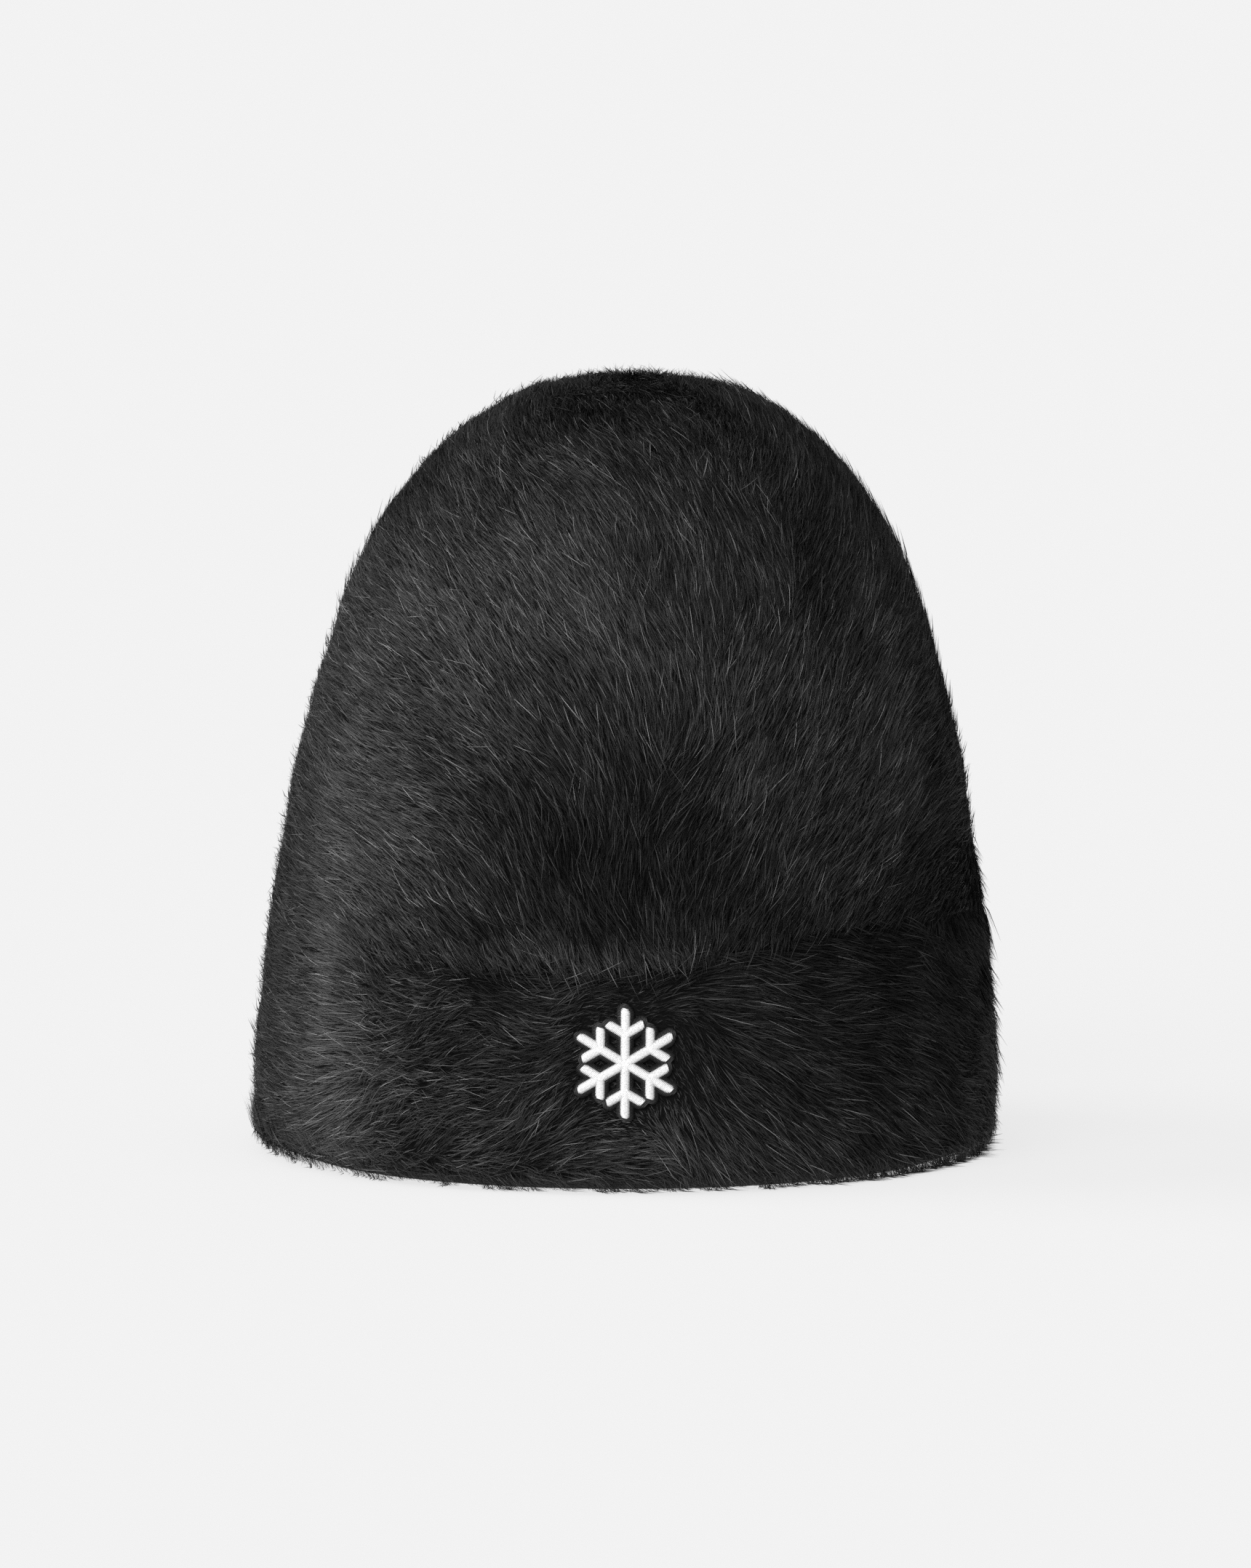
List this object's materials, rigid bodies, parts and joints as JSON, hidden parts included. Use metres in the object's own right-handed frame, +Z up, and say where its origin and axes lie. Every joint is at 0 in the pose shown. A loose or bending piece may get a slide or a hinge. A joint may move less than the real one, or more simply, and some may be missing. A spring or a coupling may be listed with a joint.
{
  "type": "skullcap",
  "caption": "Close-fitting pull-on cap of deep brushed black pile, with a turned-up cuff and a small white embroidered snowflake.",
  "frame": {"origin": "middle of the plane that the rim rests on", "axes": "+Z up to the apex, -Y towards the front that carries the embroidery, +X to the right seen from the front"},
  "size_m": [0.1907, 0.2177, 0.1981],
  "materials": {
    "black_pile": "deep brushed pile with long guard hairs",
    "black_knit": "plain fine knit, the inner face",
    "black_thread": "dark embroidery thread",
    "white_thread": "satin-stitched embroidery thread"
  },
  "bodies": {
    "root": {"crown": "black_pile", "cuff": "black_pile", "emblem_ground": "black_thread", "emblem_stitching": "white_thread"}
  },
  "joints": []
}
